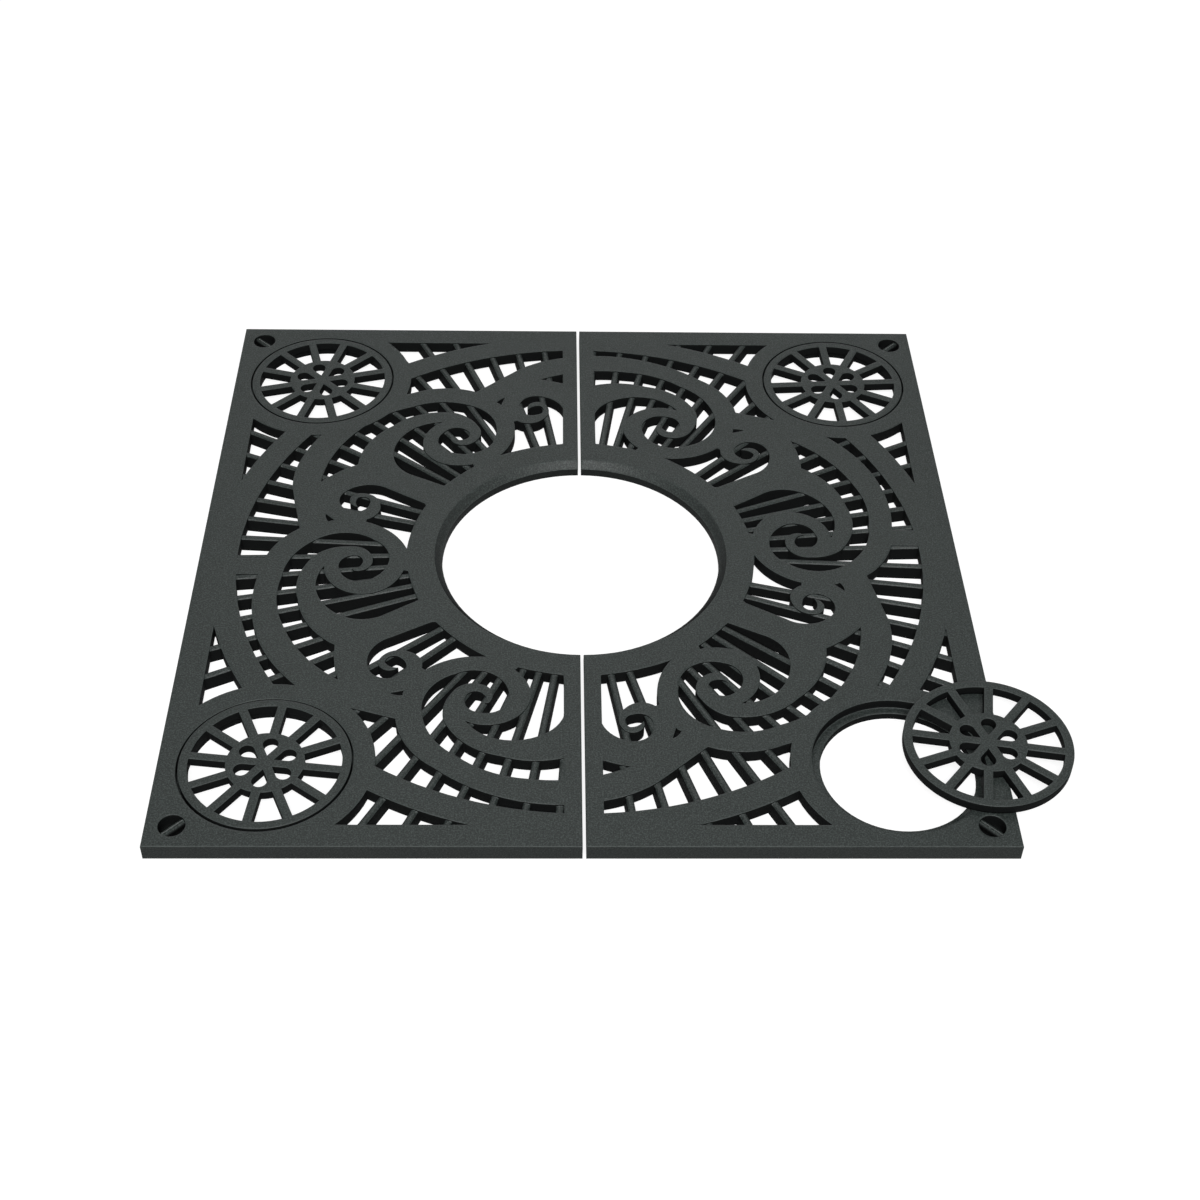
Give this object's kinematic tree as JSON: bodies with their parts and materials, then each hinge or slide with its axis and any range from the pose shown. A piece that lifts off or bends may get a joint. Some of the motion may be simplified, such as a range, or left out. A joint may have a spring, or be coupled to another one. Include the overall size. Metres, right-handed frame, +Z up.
{
  "type": "tree grate",
  "caption": "Square cast iron tree grate in two halves, with scroll openwork, round lift-out inserts and a round trunk opening.",
  "frame": {"origin": "centre of the trunk opening, at the underside of the castings", "axes": "+Z up through the trunk opening; the seam between the halves runs along Y; the taken-out insert lies at +X, -Y"},
  "size_m": [1.3005, 1.2, 0.0393],
  "materials": {
    "casting": "sand cast, dark bitumen paint",
    "insert": "sand cast, dark bitumen paint",
    "lifting_bar": "smooth round bar under the same paint"
  },
  "bodies": {
    "left_half": {"grate_half_left": "casting", "lifting_bar_back_left": "lifting_bar", "lifting_bar_front_left": "lifting_bar"},
    "right_half": {"grate_half_right": "casting", "lifting_bar_back_right": "lifting_bar", "lifting_bar_front_right": "lifting_bar"},
    "back_left_insert": {"insert_back_left": "insert"},
    "back_right_insert": {"insert_back_right": "insert"},
    "front_left_insert": {"insert_front_left": "insert"},
    "front_right_insert": {"insert_front_right": "insert"}
  },
  "joints": [
    {"name": "right_half_lift", "type": "slide", "parent": "left_half", "child": "right_half", "axis": [0, 0, 1], "range_m": [0, 0.3]},
    {"name": "back_left_insert_lift", "type": "slide", "parent": "left_half", "child": "back_left_insert", "axis": [0, 0, 1], "range_m": [0, 0.15]},
    {"name": "front_left_insert_lift", "type": "slide", "parent": "left_half", "child": "front_left_insert", "axis": [0, 0, 1], "range_m": [0, 0.15]},
    {"name": "back_right_insert_lift", "type": "slide", "parent": "right_half", "child": "back_right_insert", "axis": [0, 0, 1], "range_m": [0, 0.15]},
    {"name": "front_right_insert_lift", "type": "slide", "parent": "right_half", "child": "front_right_insert", "axis": [0, 0, 1], "range_m": [0, 0.15]}
  ]
}
